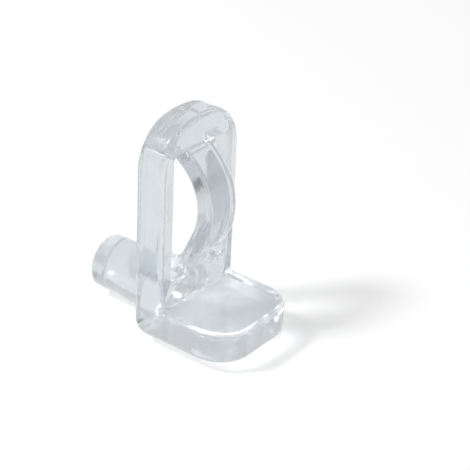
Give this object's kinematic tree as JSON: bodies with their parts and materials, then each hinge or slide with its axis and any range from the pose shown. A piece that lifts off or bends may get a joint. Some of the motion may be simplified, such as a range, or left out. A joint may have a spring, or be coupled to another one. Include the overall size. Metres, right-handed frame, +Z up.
{
  "type": "shelf support pin",
  "caption": "Clear moulded shelf support pin: a round peg for a drilled hole, a flat foot for the shelf, and an arched upright with a bowed spring web in its window.",
  "frame": {"origin": "the peg's axis where it meets the back face, the face that lies against the cabinet side", "axes": "+X points from the cabinet side out along the foot, the peg points along -X, +Y lies along the width, +Z points up along the upright"},
  "size_m": [0.0179, 0.0104, 0.021],
  "materials": {
    "clear_plastic": "clear injection-moulded plastic, glossy"
  },
  "bodies": {
    "root": {"shelf_pin": "clear_plastic"}
  },
  "joints": []
}
